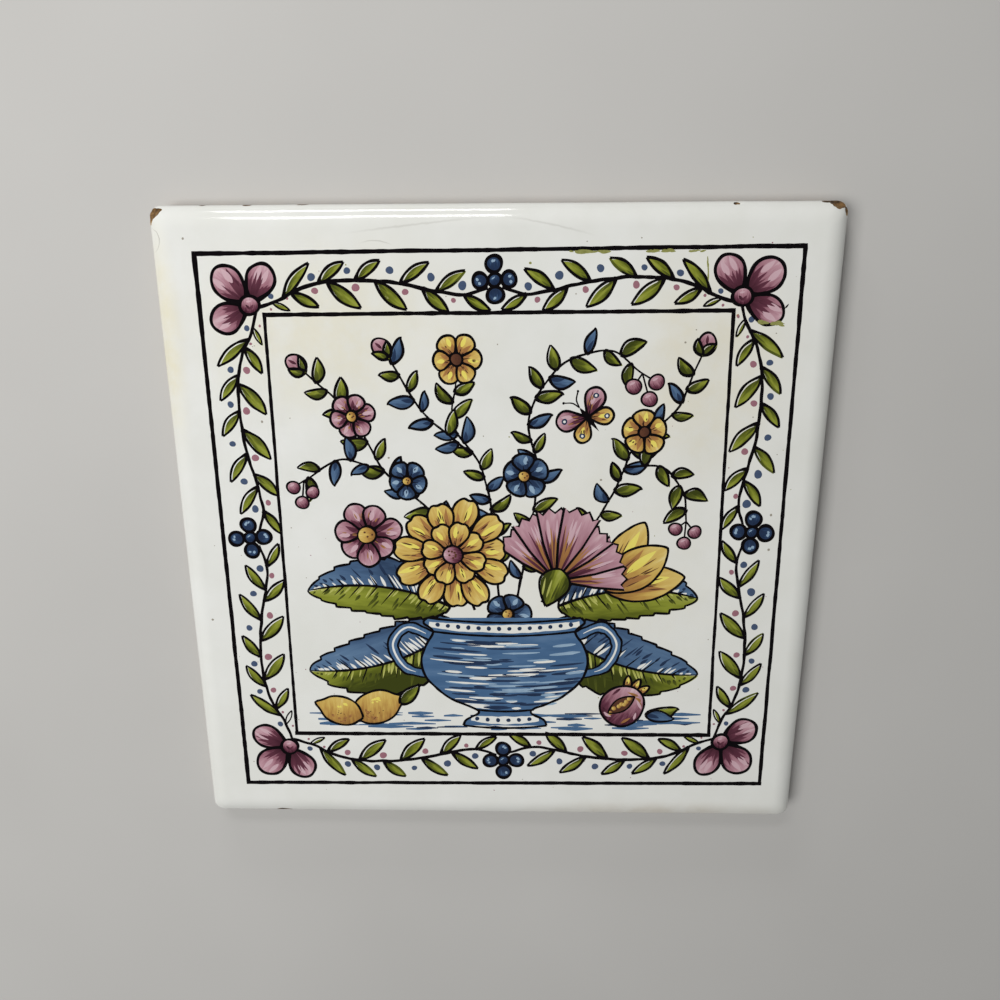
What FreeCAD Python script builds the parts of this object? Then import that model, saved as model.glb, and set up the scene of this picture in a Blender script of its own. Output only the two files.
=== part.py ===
"""Square glazed wall tile lying face up: cushioned face edges, ribbed keying back, two chipped corners.

The origin is at the middle of the back, on the land of the middle rib. +Z points out of the glazed
face, +Y towards the top of the painted picture and +X towards its right. All sizes are millimetres.
"""

import FreeCAD
import math
import os
import Part

# Overall body; the face falls away at its edges in a quarter ellipse of this width and drop
TILE_SIDE = 150.0
TILE_THICKNESS = 8.0
CUSHION_WIDTH = 5.0
CUSHION_DROP = 3.2
CORNER_RADIUS = 2.5
BACK_BEVEL = 0.6

# Keying ribs of the back, which run along Y with drafted grooves between them
EDGE_LAND = 7.5
RIB_LAND = 5.0
GROOVE_MOUTH = 5.0
GROOVE_FLOOR = 3.8
GROOVE_DEPTH = 0.9

# Chips: the ball that scoops each one and how deep it bites, how far the blow landed from the nearer
# upright side, from the top edge of the picture and below the face, and which way it leaned
LEFT_CHIP_BALL = 5.0
LEFT_CHIP_BITE = 1.1
LEFT_CHIP_INSET = (1.65, 1.65, 1.0)
LEFT_CHIP_LEAN = (-0.66, 0.22, 0.70)
RIGHT_CHIP_BALL = 2.4
RIGHT_CHIP_BITE = 0.5
RIGHT_CHIP_INSET = (3.1, 0.9, 1.7)
RIGHT_CHIP_LEAN = (0.50, 0.90, 0.45)
SIDE_CHIP_BALL = 2.0
SIDE_CHIP_BITE = 0.4
SIDE_CHIP_INSET = (0.65, 2.1, 1.7)
SIDE_CHIP_LEAN = (0.82, 0.25, 0.55)

# Derived places
HALF_SIDE = TILE_SIDE / 2
SHOULDER_HEIGHT = TILE_THICKNESS - CUSHION_DROP
GROOVE_COUNT = round((TILE_SIDE - 2 * EDGE_LAND + RIB_LAND) / (RIB_LAND + GROOVE_MOUTH))
FIRST_GROOVE = EDGE_LAND + GROOVE_MOUTH / 2 - HALF_SIDE
GROOVE_PITCH = -2 * FIRST_GROOVE / (GROOVE_COUNT - 1)
CUTTER_OVERRUN = 1.0


def cushion_section():
    """Upright section across the tile, in the XZ plane: bevelled back, straight sides, cushioned face."""
    back_half = HALF_SIDE - BACK_BEVEL
    flat_half = HALF_SIDE - CUSHION_WIDTH

    def at(x, z):
        return FreeCAD.Vector(x, 0, z)

    def line(x0, z0, x1, z1):
        return Part.LineSegment(at(x0, z0), at(x1, z1)).toShape()

    def cushion(side):
        """Quarter ellipse from the top of an upright side to the flat of the face."""
        foot = at(side * HALF_SIDE, SHOULDER_HEIGHT)
        crown = at(side * flat_half, TILE_THICKNESS)
        center = at(side * flat_half, SHOULDER_HEIGHT)
        return Part.ArcOfEllipse(Part.Ellipse(foot, crown, center), 0, math.pi / 2).toShape()

    edges = [
        line(-back_half, 0, back_half, 0),
        line(back_half, 0, HALF_SIDE, BACK_BEVEL),
        line(HALF_SIDE, BACK_BEVEL, HALF_SIDE, SHOULDER_HEIGHT),
        cushion(1),
        line(flat_half, TILE_THICKNESS, -flat_half, TILE_THICKNESS),
        cushion(-1),
        line(-HALF_SIDE, SHOULDER_HEIGHT, -HALF_SIDE, BACK_BEVEL),
        line(-HALF_SIDE, BACK_BEVEL, -back_half, 0),
    ]
    return Part.Face(Part.Wire(Part.__sortEdges__(edges)))


def cushioned_slab():
    """The pressed body: one cushioned section run both ways, with the upright corners rounded in plan."""
    run_along_y = cushion_section().extrude(FreeCAD.Vector(0, TILE_SIDE, 0))
    run_along_y.translate(FreeCAD.Vector(0, -HALF_SIDE, 0))
    run_along_x = run_along_y.copy()
    run_along_x.rotate(FreeCAD.Vector(0, 0, 0), FreeCAD.Vector(0, 0, 1), 90)
    plan = Part.makeBox(
        TILE_SIDE, TILE_SIDE, TILE_THICKNESS, FreeCAD.Vector(-HALF_SIDE, -HALF_SIDE, 0)
    )
    upright = [e for e in plan.Edges if abs(e.tangentAt(e.FirstParameter).z) > 0.5]
    plan = plan.makeFillet(CORNER_RADIUS, upright)
    return run_along_y.common(run_along_x).common(plan)


def key_groove(x_middle):
    """Cutter for one groove of the back, with drafted walls, open at both ends."""
    half_mouth = GROOVE_MOUTH / 2
    half_floor = GROOVE_FLOOR / 2
    corners = [
        (x_middle - half_mouth, 0),
        (x_middle - half_floor, GROOVE_DEPTH),
        (x_middle + half_floor, GROOVE_DEPTH),
        (x_middle + half_mouth, 0),
    ]
    start = -HALF_SIDE - CUTTER_OVERRUN
    outline = [FreeCAD.Vector(x, start, z) for x, z in corners]
    section = Part.Face(Part.makePolygon(outline + outline[:1]))
    return section.extrude(FreeCAD.Vector(0, TILE_SIDE + 2 * CUTTER_OVERRUN, 0))


def key_grooves():
    """Grooves spread evenly between the lands at the two edges."""
    return [key_groove(FIRST_GROOVE + k * GROOVE_PITCH) for k in range(GROOVE_COUNT)]


def chip(side, ball, bite, inset, lean):
    """Ball that scoops a shell-shaped chip from the edge near a corner at the top of the picture."""
    struck = FreeCAD.Vector(
        side * (HALF_SIDE - inset[0]), HALF_SIDE - inset[1], TILE_THICKNESS - inset[2]
    )
    outward = FreeCAD.Vector(*lean).normalize()
    return Part.makeSphere(ball, struck + outward * (ball - bite))


def glazed_tile():
    """The whole tile, one fired piece."""
    chips = [
        chip(-1, LEFT_CHIP_BALL, LEFT_CHIP_BITE, LEFT_CHIP_INSET, LEFT_CHIP_LEAN),
        chip(1, RIGHT_CHIP_BALL, RIGHT_CHIP_BITE, RIGHT_CHIP_INSET, RIGHT_CHIP_LEAN),
        chip(1, SIDE_CHIP_BALL, SIDE_CHIP_BITE, SIDE_CHIP_INSET, SIDE_CHIP_LEAN),
    ]
    return cushioned_slab().cut(key_grooves()).cut(chips).removeSplitter()


def main():
    os.makedirs("parts", exist_ok=True)
    tile = glazed_tile()
    tile.exportStep(os.path.join("parts", "tile.step"))
    box = tile.optimalBoundingBox(False, False)
    print("solids", len(tile.Solids), "valid", tile.isValid(), "volume", round(tile.Volume, 1))
    print("size", round(box.XLength, 3), round(box.YLength, 3), round(box.ZLength, 3))


main()
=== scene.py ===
"""Looks of a square glazed tile with a painted face, lying face up on a pale floor.

The drawing is laid out in millimetres on the face: x to the right, y to the top of the picture, origin at
the middle of the outer frame line. Shapes are painted one over another, then cut into one flat partition, so
each colour is a region of the tile's own mesh with a crisp edge.
"""

import math
import random

import bmesh
import bpy
import numpy as np
from mathutils import Matrix, Vector, noise
from mathutils.geometry import delaunay_2d_cdt


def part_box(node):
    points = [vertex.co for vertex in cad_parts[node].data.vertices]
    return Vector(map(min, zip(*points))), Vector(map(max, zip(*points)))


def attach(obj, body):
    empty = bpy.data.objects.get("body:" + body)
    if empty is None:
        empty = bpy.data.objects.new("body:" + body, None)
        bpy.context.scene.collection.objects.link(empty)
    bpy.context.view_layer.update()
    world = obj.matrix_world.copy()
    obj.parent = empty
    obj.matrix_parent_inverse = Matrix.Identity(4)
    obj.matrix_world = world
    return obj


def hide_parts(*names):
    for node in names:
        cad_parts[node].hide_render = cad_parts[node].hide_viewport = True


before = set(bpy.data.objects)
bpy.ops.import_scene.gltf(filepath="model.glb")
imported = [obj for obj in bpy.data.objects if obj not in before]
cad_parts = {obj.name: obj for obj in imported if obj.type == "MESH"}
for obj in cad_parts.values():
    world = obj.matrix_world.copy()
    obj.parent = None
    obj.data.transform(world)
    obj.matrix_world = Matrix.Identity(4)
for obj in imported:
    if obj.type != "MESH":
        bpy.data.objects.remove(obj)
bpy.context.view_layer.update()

MM = 0.001
SEED = 7
rng = random.Random(SEED)
vary = rng.uniform

# Body of the tile, millimetres; the overall size is the frame's
tile_low, tile_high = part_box("tile")
HALF_SIDE = (tile_high[0] - tile_low[0]) / 2 / MM
THICKNESS = (tile_high[2] - tile_low[2]) / MM
EDGE_WIDTH = 5.0
EDGE_DROP = 3.2
CORNER_RADIUS = 2.5
INNER_CORNER_RADIUS = 1.5
BACK_BEVEL = 0.6
FLAT_HALF = HALF_SIDE - EDGE_WIDTH
PATCH_INSET = 0.5
PATCH_HALF = FLAT_HALF - PATCH_INSET
PATCH_BOW = 0.4
SHOULDER_HEIGHT = THICKNESS - EDGE_DROP
EDGE_SINK = 0.09
SIDE_SEGMENTS = 90
CORNER_SEGMENTS = 8
CUSHION_RINGS = 16

# Lower limit of the glaze on the sides: its height, waves and inset, and the step down to the clay
GLAZE_FOOT = 2.3
FOOT_WAVE = 0.55
FOOT_RIPPLE = 0.3
FOOT_INSET = 0.06
GLAZE_STEP = 0.15
GLAZE_LIP = 0.1

# Keying ribs of the back; a groove's cutter starts below the back, flares there and runs past the sides
GROOVE_PITCH = 10.0
GROOVE_MOUTH = 5.0
GROOVE_FLOOR = 3.8
GROOVE_DEPTH = 0.9
GROOVE_PAIRS = 7
CUTTER_DROP = 0.1
CUTTER_FLARE = 0.06
CUTTER_OVERRUN = 1.0

# Chips and nicks of the edges: place on the sound edge, lean of the blow, the scoop's radius and bite, and
# how far it is drawn out along X
CHIPS = [
    ((-73.2, 73.7, 6.9), (-0.6, 0.4, 0.62), 3.1, 1.0, 1.0),
    ((-74.3, 72.5, 6.3), (-0.8, -0.1, 0.6), 2.2, 0.45, 1.0),
    ((71.9, 74.1, 6.3), (0.5, 0.9, 0.45), 2.4, 0.5, 1.15),
    ((74.35, 72.9, 6.3), (0.82, 0.25, 0.55), 2.0, 0.4, 1.0),
    ((70.1, 74.8, 5.6), (0.0, 1.0, 0.5), 7.0, 0.09, 1.0),
    ((-63.3, 74.9, 5.3), (0.0, 1.0, 0.4), 0.7, 0.2, 1.7),
    ((-53.4, 74.9, 5.3), (0.1, 1.0, 0.4), 0.8, 0.24, 1.8),
    ((-41.2, 74.9, 5.3), (-0.1, 1.0, 0.4), 0.8, 0.2, 2.4),
    ((51.1, 74.4, 6.3), (0.0, 0.8, 0.6), 0.6, 0.26, 1.2),
    ((-56.1, -74.5, 6.1), (0.0, -0.6, 0.8), 3.0, 0.2, 1.5),
]

# How lumpy and how grainy a scoop is, as shares of its bite, and how much finer its grain is than its lumps
CHIP_LUMP = 0.9
CHIP_GRAIN = 0.3
CHIP_FINENESS = 3.6

# The print: its frame lines and where it sits on the face
PRINT_SHIFT = (0.57, 0.67)
PRINT_TURN = math.radians(0.28)
OUTER_HALF = 65.09
INNER_HALF = 51.36
INNER_SHIFT = (-0.1, 0.5)
STEM_LINE = 0.8
LEAF_LINE = 0.6
BUD_LINE = 0.42
PETAL_LINE = 0.74
PEN_STEP = 0.5
PEN_UNEVENNESS = 0.26


# Drawing helpers


def spline(points, step=PEN_STEP):
    """Points about a step apart along the smooth curve through the given ones."""
    p = np.array(points, float)
    p = np.vstack([2 * p[0] - p[1], p, 2 * p[-1] - p[-2]])
    runs = []
    for a, b, c, d in zip(p, p[1:], p[2:], p[3:]):
        count = max(2, math.ceil(np.linalg.norm(c - b) / step))
        t = np.arange(count)[:, None] / count
        bend = (2 * a - 5 * b + 4 * c - d) * t**2 + (3 * b - a - 3 * c + d) * t**3
        runs.append(0.5 * (2 * b + (c - a) * t + bend))
    return np.vstack([*runs, p[-2:-1]])


def left_of(path):
    """Unit vectors to the left of a path at each of its points."""
    along = np.gradient(path, axis=0)
    along /= np.maximum(np.linalg.norm(along, axis=1), 1e-9)[:, None]
    return np.stack([-along[:, 1], along[:, 0]], axis=1)


def share_along(path):
    """How far along a path each point is, from 0 to 1."""
    steps = np.linalg.norm(np.diff(path, axis=0), axis=1)
    run = np.concatenate([[0.0], np.cumsum(steps)])
    return run / max(run[-1], 1e-9)


def tremor(path, amount, pitch=0.35):
    """The same path drawn by a hand that isn't quite steady."""
    sway = [noise.noise(Vector((x * pitch, y * pitch, SEED))) for x, y in path]
    return path + left_of(path) * (np.array(sway) * amount)[:, None]


def ribbon(path, width, taper=(0.6, 0.6)):
    """Outline of a pen line of a given width along a path, thinner towards its ends."""
    path = np.asarray(path, float)
    profile = np.interp(share_along(path), [0, 0.22, 0.78, 1], [taper[0], 1, 1, taper[1]])
    swell = [noise.noise(Vector((x * 0.6, y * 0.6, 3.7))) for x, y in path]
    half = width / 2 * profile * (1 + PEN_UNEVENNESS * np.array(swell))
    side = left_of(path) * half[:, None]
    return np.vstack([path + side, (path - side)[::-1]])


def oval(center, across, along=None, turn=0.0, ripple=0.04, phase=0.0):
    """A round or oval blob with a slightly uneven outline."""
    along = across if along is None else along
    count = max(10, math.ceil(2 * math.pi * max(across, along) / 0.42))
    angle = np.linspace(0, 2 * math.pi, count, endpoint=False)
    swell = 1 + ripple * (np.sin(2 * angle + phase) + 0.6 * np.sin(3 * angle + 2.1 * phase))
    x = across * np.cos(angle) * swell
    y = along * np.sin(angle) * swell
    c, s = math.cos(turn), math.sin(turn)
    return np.stack([center[0] + x * c - y * s, center[1] + x * s + y * c], axis=1)


def blade(base, tip, width, bow=0.0, belly=0.5, roundness=0.85, step=PEN_STEP):
    """Left and right edge of a leaf or petal from base to tip, widest at its belly, bowed to its left."""
    base, tip = np.array(base, float), np.array(tip, float)
    axis = tip - base
    length = np.linalg.norm(axis)
    normal = np.array([-axis[1], axis[0]]) / length
    count = max(8, math.ceil(1.2 * length / step))
    u = (1 - np.cos(np.linspace(0, math.pi, count))) / 2
    spine = base + axis * u[:, None] + normal * (4 * bow * u * (1 - u))[:, None]
    power = math.log(0.5) / math.log(belly)
    half = width / 2 * np.sin(math.pi * u**power).clip(0) ** roundness
    return spine + normal * half[:, None], spine - normal * half[:, None]


def around(left, right):
    """Closed outline from the two edges of a blade."""
    return np.vstack([left, right[-2:0:-1]])


def polar(center, radius, degrees):
    """The point at a distance and in a direction from another."""
    angle = math.radians(degrees)
    return np.array([center[0] + radius * math.cos(angle), center[1] + radius * math.sin(angle)])


# Painting: every shape is a mark, and a later mark covers an earlier one

marks = []

# How far each colour was printed from the black lines
PLATE_SHIFT = {
    "leaf_green": (0.28, -0.2),
    "leaf_blue": (-0.10, -0.12),
    "petal_pink": (0.05, -0.05),
    "petal_yellow": (-0.16, -0.10),
}


def paint(outline, pigment, start=None, end=None):
    """Lays a filled shape over what is painted so far; its brush ran from start to end."""
    outline = np.asarray(outline, float)
    start = outline[0] if start is None else np.array(start, float)
    end = outline[len(outline) // 2] if end is None else np.array(end, float)
    shift = np.array(PLATE_SHIFT.get(pigment, (0, 0)))
    marks.append((outline + shift, pigment, start + shift, end + shift, vary(0, 50)))


def pen(path, width, taper=(0.6, 0.6), pigment="black_line"):
    """Draws a line along a path."""
    path = np.asarray(path, float)
    paint(ribbon(path, width, taper), pigment, path[0], path[-1])


def outlined(outline, width, shake=0.0):
    """Draws a line all round a shape."""
    pen(tremor(np.vstack([outline, outline[:1]]), shake), width, (1, 1))


def stroke(foot, head, width, pigment, bow=0.0):
    """One touch of the brush, pointed at both ends."""
    paint(around(*blade(foot, head, width, bow, belly=0.42)), pigment, foot, head)


def dab(center, radius, pigment):
    """Sets a round dot."""
    outline = oval(center, radius, radius * vary(0.9, 1.1), ripple=0.05, phase=vary(0, 6))
    paint(outline, pigment)


def blot(center, radius, pigment, start=None, end=None, along=None):
    """Lays a round or oval shape with an uneven outline."""
    paint(oval(center, radius, along, phase=vary(0, 6)), pigment, start, end)


# Border

# One half of a side: s runs from the outer frame's corner along the side, t inwards in a band 13 mm deep
BAND = 13.0
VINE = [
    (11.9, 11.5), (17.4, 9.8), (21.0, 7.9), (26.6, 6.3), (31.4, 5.85),
    (37.2, 5.85), (44.4, 6.6), (52.6, 8.35), (58.2, 9.0), (63.4, 7.6),
]
OUTER_LEAVES = [
    ((18.6, 9.2), (24.6, 2.2)), ((26.5, 6.3), (32.4, 1.9)), ((34.5, 5.6), (40.1, 1.8)),
    ((44.2, 6.4), (50.7, 2.3)), ((52.3, 8.1), (58.6, 4.1)),
]
INNER_LEAVES = [
    ((20.9, 8.4), (26.1, 11.4)), ((28.4, 6.7), (35.4, 11.4)), ((38.8, 6.5), (45.4, 11.7)),
    ((49.4, 8.1), (54.6, 12.5)), ((58.3, 9.2), (63.6, 12.4)),
]
INNER_LEAF_WIDTHS = (2.1, 2.8, 2.8, 2.4, 2.0)
INNER_LEAF_BOW = 0.25
OUTER_LEAF_WIDTH = 2.2
OUTER_LEAF_BOW = 0.28
SOFT_LEAVES = 0.35
SMALL_BUD = ((16.4, 10.6), (19.9, 11.9))
GREEN_BUDS = 0.7
BLUE_DOTS = [
    (16.2, 8.9, 0.66), (25.2, 4.8, 0.8), (33.0, 4.0, 0.74),
    (42.2, 3.9, 0.78), (50.9, 5.3, 0.9), (57.7, 7.2, 0.88),
]
MAUVE_DOTS = [
    (15.8, 11.7, 0.3), (19.7, 9.6, 0.34), (25.5, 8.0, 0.76),
    (34.6, 7.4, 0.86), (45.5, 8.5, 0.82), (55.9, 10.1, 0.64),
]

# Middles of the corner flowers, from the top left corner against the clock, and their petals' tips and widths
CORNER_MIDDLES = [(10.9, 11.3), (9.9, 10.8), (10.3, 10.7), (10.6, 11.4)]
CORNER_PETALS = [((-8.4, 4.4), 6.4), ((4.6, -8.3), 6.1), ((-6.9, -7.5), 7.0)]

# Blue flower of each side, from the top against the clock: how far past the middle it sits, and how deep; the
# reach and radius of its petals
QUATREFOIL_REACH = 3.2
QUATREFOIL_RADIUS = 1.8
SIDE_MIDDLES = [(-0.4, 6.6), (0.3, 6.0), (-0.5, 5.65), (-1.3, 6.0)]

# How far the vine was set off its place, for both halves of each side in the same order
VINE_SHIFTS = [
    ((-0.15, -0.6), (-0.5, -0.5)), ((0.15, 0.1), (0.5, -0.15)),
    ((0.5, 0.2), (0.5, -0.5)), ((-0.3, 0.75), (0.15, 0.8)),
]

# How heavy the pen was on each side's vine, in the same order
LINE_WEIGHTS = (1.05, 0.95, 1.05, 0.95)

# Corners of the two frame lines from the top left, and the widths of their sides from the top, with the clock
OUTER_CORNERS = [(-65.2, 64.45), (65.5, 64.7), (65.35, -65.25), (-65.2, -65.6)]
INNER_CORNERS = [(-51.05, 51.5), (51.25, 51.5), (51.75, -51.5), (-51.6, -51.4)]
OUTER_WIDTHS = (0.92, 0.9, 1.0, 1.0)
INNER_WIDTHS = (0.9, 0.76, 1.0, 0.76)


def half_side(turn, mirror, shift=(0.0, 0.0)):
    """Mapping from a half side's s and t to the drawing, for one of four sides and two directions."""
    right, up = INNER_SHIFT
    depth = (OUTER_HALF - INNER_HALF - (up, -right, -up, right)[turn]) / BAND
    c, s = math.cos(turn * math.pi / 2), math.sin(turn * math.pi / 2)

    def place(point):
        x = mirror * (point[0] - OUTER_HALF)
        y = OUTER_HALF - point[1] * depth
        return np.array([x * c - y * s + shift[0], x * s + y * c + shift[1]])

    return place


def nearest(path, point):
    """The point of a path that is nearest to a given one."""
    return path[np.argmin(np.linalg.norm(path - point, axis=1))]


def scatter(amount=0.16):
    """Small random offset of a mark set by hand."""
    return np.array([rng.gauss(0, amount), rng.gauss(0, amount)])


def vine_leaf(base, tip, width, bow, weight, soft):
    """Pointed leaf of the border: green printed a little off its outline, whose inner edge may be soft."""
    left, right = blade(base, tip, width, bow)
    outer, inner = (left, right) if bow > 0 else (right, left)
    axis = tip - base
    fill = blade(base + axis * 0.04, base + axis * 0.97, width * 0.86, bow)
    paint(around(*fill), "leaf_green", base, tip)
    stroke(base, base + axis * vary(0.35, 0.5), width * 0.2, "leaf_shade")
    pen(tremor(inner, 0.1), weight, (1.5, 0.8), "leaf_shade" if soft else "black_line")
    if soft:
        pen(inner[: round(len(inner) * vary(0.4, 0.7))], weight * 0.7, (1.6, 0.2))
    pen(tremor(outer, 0.1), weight, (1.5, 1.0))


def draw_half_side(turn, mirror):
    """Vine, leaves and dots from a corner flower to the middle of a side."""
    place = half_side(turn, mirror, VINE_SHIFTS[turn][0 if mirror == 1 else 1])
    weight = LINE_WEIGHTS[turn]
    vine = spline([place(p) for p in VINE])
    for s, t, radius in BLUE_DOTS:
        dab(place((s, t)) + scatter(), radius * vary(0.9, 1.1), "dot_blue")
    for s, t, radius in MAUVE_DOTS:
        dab(place((s, t)) + scatter(), radius * vary(0.85, 1.1), "dot_mauve")
    for base, tip in OUTER_LEAVES:
        foot, head = nearest(vine, place(base)), place(tip) + scatter()
        soft = rng.random() < SOFT_LEAVES
        vine_leaf(foot, head, OUTER_LEAF_WIDTH, OUTER_LEAF_BOW * mirror, LEAF_LINE * weight, soft)
    for (base, tip), width in zip(INNER_LEAVES, INNER_LEAF_WIDTHS):
        foot, head = nearest(vine, place(base)), place(tip) + scatter()
        vine_leaf(foot, head, width, -INNER_LEAF_BOW * mirror, LEAF_LINE * weight, False)
    foot, tip = nearest(vine, place(SMALL_BUD[0])), place(SMALL_BUD[1])
    if rng.random() < GREEN_BUDS:
        paint(around(*blade(foot, tip, 0.8)), "leaf_green", foot, tip)
    outlined(around(*blade(foot, tip, 1.1)), BUD_LINE * weight)
    pen(tremor(vine, 0.18), STEM_LINE * weight, (0.9, 0.8))


def corner_petal(middle, tip, width):
    """Round petal: plum flames at its base and often on a flank, pale touches at its tip, a heavy outline."""
    base = middle + (tip - middle) * 0.1
    length = np.linalg.norm(tip - base)
    axis = (tip - base) / length
    normal = np.array([-axis[1], axis[0]])
    left, right = blade(base, tip, width, belly=0.6, roundness=0.52)
    paint(around(left, right), "petal_pink", base, tip)
    band = rng.choice((-1, 0, 1))
    for k in range(3 * abs(band)):
        foot = base + axis * length * vary(0.1, 0.3) + normal * band * width * vary(0.16, 0.3)
        head = base + axis * length * vary(0.75, 0.95) + normal * band * width * vary(0.2, 0.36)
        stroke(foot, head, width * vary(0.12, 0.2), "plum", -band * width * 0.08)
    for offset in (-0.12, 0.16):
        foot = base + axis * length * 0.5 + normal * (offset + vary(-0.08, 0.08)) * width
        head = foot + axis * length * 0.42 + normal * vary(-0.4, 0.4)
        stroke(foot, head, vary(1.0, 1.5), "pale_pink")
    for offset in (-0.46, -0.34, -0.2, -0.06, 0.08, 0.22, 0.34, 0.46):
        foot = base + axis * 0.4 + normal * offset * width * 0.3
        reach = length * vary(0.4, 0.88 - 0.5 * abs(offset))
        head = base + axis * reach + normal * offset * width * 0.92
        stroke(foot, head, vary(0.5, 1.1), "plum", vary(-0.3, 0.3))
    pen(tremor(np.vstack([left, right[-2::-1]]), 0.14), PETAL_LINE, (1.5, 1.5))


def corner_flower(turn):
    """Three petals about a round eye, in the corner at the left end of a side."""
    place = half_side(turn, 1)
    s, t = CORNER_MIDDLES[turn]
    middle = place((s, t))
    for reach, width in CORNER_PETALS:
        tip = place((s + reach[0], t + reach[1]))
        corner_petal(middle, tip, width * vary(0.96, 1.04))
    blot(middle, 2.5, "black_line", along=2.4)
    blot(middle, 1.75, "petal_pink", middle - (0, 1.7), middle + (0, 1.7), 1.7)
    smile = spline([middle + (-0.8, 0.1), middle + (0.1, -0.7), middle + (0.9, 0.1)], 0.3)
    pen(smile, 0.55, (0.3, 0.3), "plum")
    stroke(middle + (-0.7, 0.7), middle + (0.5, 0.9), 0.45, "pale_pink")


def quatrefoil(middle):
    """Four round blue petals and a round eye."""
    turn = vary(-4, 4)
    for quarter in range(4):
        at = polar(middle, QUATREFOIL_REACH * vary(0.96, 1.05), 90 * quarter + turn)
        radius = QUATREFOIL_RADIUS * vary(0.94, 1.06)
        blot(at, radius + 0.3, "black_line")
        outer = polar(middle, 5.6, 90 * quarter)
        blot(at, radius - 0.44, "navy", middle, outer)
        blot(at, radius - 0.7, "flower_blue", middle, outer)
        for offset in (-0.5, 0.1, 0.45):
            foot = polar(at, radius * 0.75, 90 * quarter + 180 - 50 * offset)
            head = polar(at, radius * vary(0.2, 0.5), 90 * quarter + 60 * offset)
            stroke(foot, head, vary(0.35, 0.6), "navy")
        for k in range(3):
            lean = 90 * quarter + vary(-70, 70)
            near, far = polar(at, radius * 0.25, lean + 40), polar(at, radius * vary(0.5, 0.62), lean)
            stroke(near, far, vary(0.4, 0.75), "pale_blue")
    paint(oval(middle, 1.72), "black_line")
    paint(oval(middle, 1.05), "flower_blue", polar(middle, 1.6, -60), polar(middle, 1.6, 120))
    stroke(polar(middle, 0.7, 170), polar(middle, 0.7, 80), 0.3, "pale_blue")


def frame_line(corners, widths):
    """Four ruled lines, each run a little past its corners."""
    corners = np.array(corners)
    for start, end, width in zip(corners, np.roll(corners, -1, axis=0), widths):
        length = np.linalg.norm(end - start)
        along = (end - start) / length
        run = np.linspace(0, length + width, math.ceil(length))
        path = start - along * width / 2 + np.outer(run, along)
        pen(tremor(path, 0.09, 0.12), width, (1.1, 1.1))


def border():
    """Outer frame line, vine, corner flowers, blue flowers and inner frame line."""
    frame_line(OUTER_CORNERS, OUTER_WIDTHS)
    for turn in range(4):
        draw_half_side(turn, 1)
        draw_half_side(turn, -1)
    for turn in range(4):
        corner_flower(turn)
        past, depth = SIDE_MIDDLES[turn]
        quatrefoil(half_side(turn, 1)((OUTER_HALF + past, depth)))
    frame_line(INNER_CORNERS, INNER_WIDTHS)


# Panel: a two-handled bowl of flowers, with fruit beside its foot and a butterfly

SPRIG_LINE = 0.54
FLOWER_LINE = 0.6
FLOWER_SHAKE = 0.1
TWIG_LINE = 0.52

# Colours of the brush on each petal colour: shade, fine dashes and light
TOUCHES = {
    "petal_yellow": ("ochre", "umber", "sun_yellow"),
    "petal_pink": ("plum", "ochre", "pale_pink"),
    "leaf_blue": ("navy", "navy", "pale_blue"),
}

# Light and dark of the strokes combed over each colour of a broad leaf
COMBED = {"leaf_green": ("leaf_light", "leaf_shade"), "leaf_blue": ("white_glaze", "navy")}


def heading(path, index):
    """Direction of a path at one of its points, in degrees."""
    before, after = path[max(index - 1, 0)], path[min(index + 1, len(path) - 1)]
    return math.degrees(math.atan2(after[1] - before[1], after[0] - before[0]))


def sprig_leaf(base, degrees, length, fill, side=1):
    """Small pointed leaf of a twig with a hooked tip, its colour a little off its outline."""
    axis = polar((0, 0), length, degrees)
    across = np.array([-axis[1], axis[0]]) * side
    width = length * vary(0.4, 0.5)
    bow = side * length * vary(0.02, 0.16)
    left, right = blade(base, base + axis, width, bow, belly=0.4)
    hook = np.outer(np.linspace(0, 1, len(left)) ** 4, across * vary(0.0, 0.22))
    left, right = left + hook, right + hook
    middle = (left + right) / 2
    paint(around(left, right), "white_glaze")
    inset = [middle + (edge - middle) * 0.92 for edge in (left, right)]
    paint(around(*inset), fill, base, base + axis)
    shade = "leaf_shade" if fill == "leaf_green" else "navy"
    stroke(base, base + axis * vary(0.4, 0.6), width * 0.34, shade, bow * 0.3)
    most = slice(1, round(len(right) * 0.8))
    pen(right[most] * 0.8 + middle[most] * 0.2, 0.34, (1, 0.3), shade)
    weight = SPRIG_LINE * vary(0.9, 1.25)
    for edge in (left, right):
        pen(tremor(edge, 0.1), weight, (1.4, 0.7))


def twig(points, gap=3.3, length=5.7, lead=6.0, blue=0.3):
    """Bending stem with leaves set by turns on either side; returns its end and direction."""
    stem = tremor(spline(points), 0.3, 0.2)
    run = share_along(stem) * np.linalg.norm(np.diff(stem, axis=0), axis=1).sum()
    side = 1
    at = lead
    while at < run[-1] - 1.5:
        index = int(np.searchsorted(run, at))
        fill = "leaf_blue" if rng.random() < blue else "leaf_green"
        way = heading(stem, index) + side * vary(38, 62)
        sprig_leaf(stem[index], way, length * vary(0.8, 1.1), fill, side)
        side = -side
        at += gap * vary(0.7, 1.3)
    pen(stem, TWIG_LINE, (1.3, 0.8))
    return stem[-1], heading(stem, len(stem) - 1)


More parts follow.
